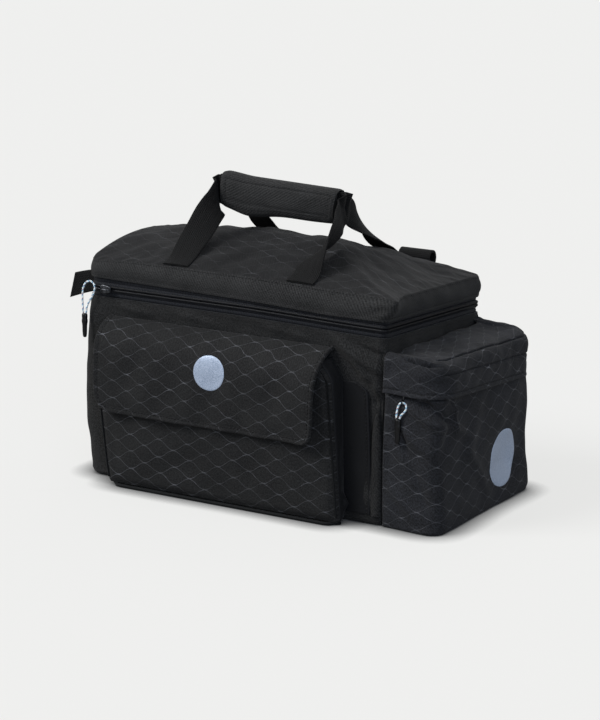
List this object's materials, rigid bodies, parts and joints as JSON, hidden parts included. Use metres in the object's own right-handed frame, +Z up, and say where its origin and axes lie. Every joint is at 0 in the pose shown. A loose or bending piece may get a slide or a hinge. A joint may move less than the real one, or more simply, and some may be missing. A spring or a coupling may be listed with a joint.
{
  "type": "bicycle trunk bag",
  "caption": "Soft bag for a bicycle rack: zipped main compartment with a domed lid and a carrying handle, flap pockets on the long sides and a hooded pocket at one end.",
  "frame": {"origin": "middle of the main compartment's base, on the surface that it stands on", "axes": "+Z up, +X towards the end pocket, -Y towards the flap pocket of the near long side"},
  "size_m": [0.3796, 0.2376, 0.2645],
  "materials": {
    "patterned_cloth": "woven polyester with a raised net pattern",
    "twill_cloth": "plain woven polyester",
    "smooth_cloth": "fine coated polyester",
    "webbing": "woven polypropylene webbing",
    "zip": "woven tape with a nylon coil",
    "slider_metal": "dark coated zinc",
    "pull_cord": "braided cord",
    "moulded_end": "moulded, glossy"
  },
  "bodies": {
    "root": {"lid": "patterned_cloth", "front_pocket": "patterned_cloth", "front_flap": "patterned_cloth", "back_pocket": "patterned_cloth", "back_flap": "patterned_cloth", "end_pocket": "patterned_cloth", "end_pocket_hood": "patterned_cloth", "main_body": "twill_cloth", "lid_hinge": "twill_cloth", "front_corner_fold": "twill_cloth", "back_corner_fold": "twill_cloth", "handle_grip": "twill_cloth", "front_patch_left": "smooth_cloth", "front_patch_right": "smooth_cloth", "back_patch_left": "smooth_cloth", "back_patch_right": "smooth_cloth", "handle_strap_front": "webbing", "handle_strap_back": "webbing", "zip_end_tab": "webbing", "rear_loop": "webbing", "zip_tape_lower": "zip", "zip_tape_upper": "zip", "zip_coil": "zip", "end_zip_tape": "zip", "end_zip_coil": "zip", "zip_slider": "slider_metal", "end_zip_slider": "slider_metal", "zip_pull_cord": "pull_cord", "end_pull_cord": "pull_cord", "zip_pull_end": "moulded_end", "end_pull_end": "moulded_end"}
  },
  "joints": []
}
